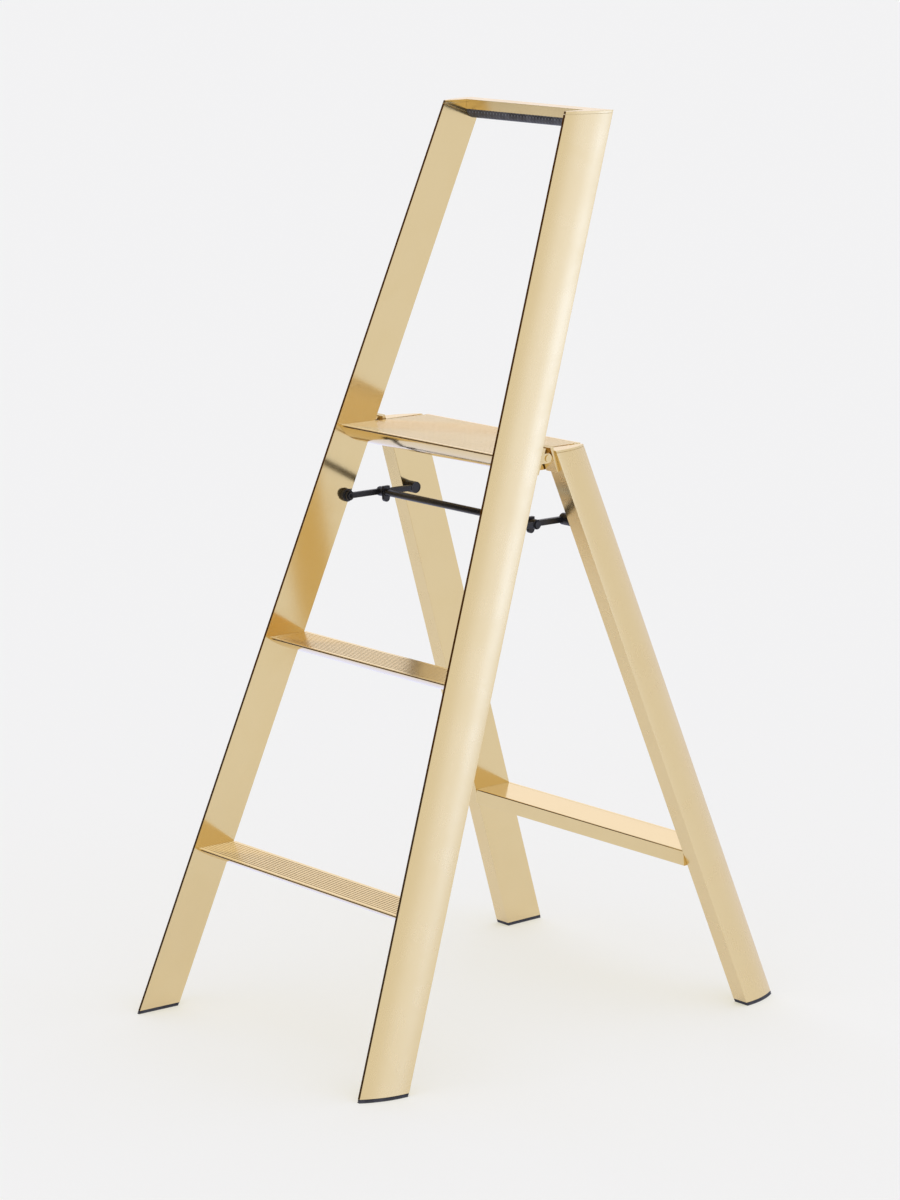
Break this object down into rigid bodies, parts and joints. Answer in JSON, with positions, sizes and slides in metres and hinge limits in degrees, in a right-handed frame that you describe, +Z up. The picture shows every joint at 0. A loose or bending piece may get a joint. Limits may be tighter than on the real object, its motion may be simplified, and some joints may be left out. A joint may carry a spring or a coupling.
{
  "type": "folding step ladder",
  "caption": "Free-standing folding step ladder of gold-anodised aluminium: ribbed treads, a platform, a hand hoop and a rear frame held by folding stays.",
  "frame": {"origin": "on the floor, in the middle between the four feet, ladder open", "axes": "+Z up, the climber stands at -Y and faces +Y, +X to the climber's right"},
  "size_m": [0.5614, 0.7732, 1.3],
  "materials": {
    "anodised_rail": "gold anodised, satin outside and polished inside",
    "anodised_tread": "gold anodised, ribbed top and polished underside",
    "anodised_casting": "gold anodised casting, satin",
    "black_rubber": "matt moulded rubber",
    "black_plastic": "glass-filled nylon, satin",
    "black_tube": "black powder coat, satin",
    "bush_plastic": "acetal",
    "pin_steel": "zinc plated",
    "screw_steel": "zinc plated"
  },
  "bodies": {
    "front_frame": {"hinge_bracket_left": "anodised_casting", "hinge_bracket_right": "anodised_casting", "hinge_pin_left": "pin_steel", "hinge_pin_right": "pin_steel", "insert_lower_left": "bush_plastic", "insert_lower_right": "bush_plastic", "insert_middle_left": "bush_plastic", "insert_middle_right": "bush_plastic", "insert_platform_left": "bush_plastic", "insert_platform_right": "bush_plastic", "platform_deck": "anodised_tread", "rail_foot_left": "black_rubber", "rail_foot_right": "black_rubber", "rail_foot_screws": "screw_steel", "rail_left": "anodised_rail", "rail_right": "anodised_rail", "rail_screws_left": "screw_steel", "rail_screws_right": "screw_steel", "stay_anchor_front_left": "black_plastic", "stay_anchor_front_right": "black_plastic", "top_bar": "anodised_tread", "top_corner_left": "anodised_casting", "top_corner_right": "anodised_casting", "top_grip": "black_rubber", "tread_lower": "anodised_tread", "tread_middle": "anodised_tread"},
    "rear_frame": {"hinge_bush_left": "bush_plastic", "hinge_bush_right": "bush_plastic", "hinge_lug_left": "anodised_casting", "hinge_lug_right": "anodised_casting", "insert_crossbar_left": "bush_plastic", "insert_crossbar_right": "bush_plastic", "leg_cap_left": "anodised_casting", "leg_cap_right": "anodised_casting", "leg_foot_left": "black_rubber", "leg_foot_right": "black_rubber", "leg_foot_screws": "screw_steel", "leg_left": "anodised_rail", "leg_right": "anodised_rail", "leg_screws_left": "screw_steel", "leg_screws_right": "screw_steel", "rear_crossbar": "anodised_tread", "stay_anchor_rear_left": "black_plastic", "stay_anchor_rear_right": "black_plastic"},
    "stay_front": {"knee_ear_left": "black_plastic", "knee_ear_right": "black_plastic", "knee_pin_left": "black_plastic", "knee_pin_right": "black_plastic", "lock_bar": "black_tube", "stay_link_front_left": "black_plastic", "stay_link_front_right": "black_plastic"},
    "stay_rear": {"stay_link_rear_left": "black_plastic", "stay_link_rear_right": "black_plastic"}
  },
  "joints": [
    {"name": "frame_fold", "type": "hinge", "parent": "front_frame", "child": "rear_frame", "pos_m": [0, 0, 0.832], "axis": [-1, 0, 0], "range_deg": [0, 40]},
    {"name": "stay_lift", "type": "hinge", "parent": "front_frame", "child": "stay_front", "pos_m": [0, -0.0585, 0.736], "axis": [1, 0, 0], "range_deg": [0, 47.81]},
    {"name": "stay_knee", "type": "hinge", "parent": "stay_front", "child": "stay_rear", "pos_m": [0, 0, 0.736], "axis": [-1, 0, 0], "range_deg": [0, 135.63]}
  ],
  "couplings": [
    {"joint": "stay_lift", "follows": "frame_fold", "ratio": 1.1941},
    {"joint": "stay_knee", "follows": "frame_fold", "ratio": 3.3882}
  ]
}
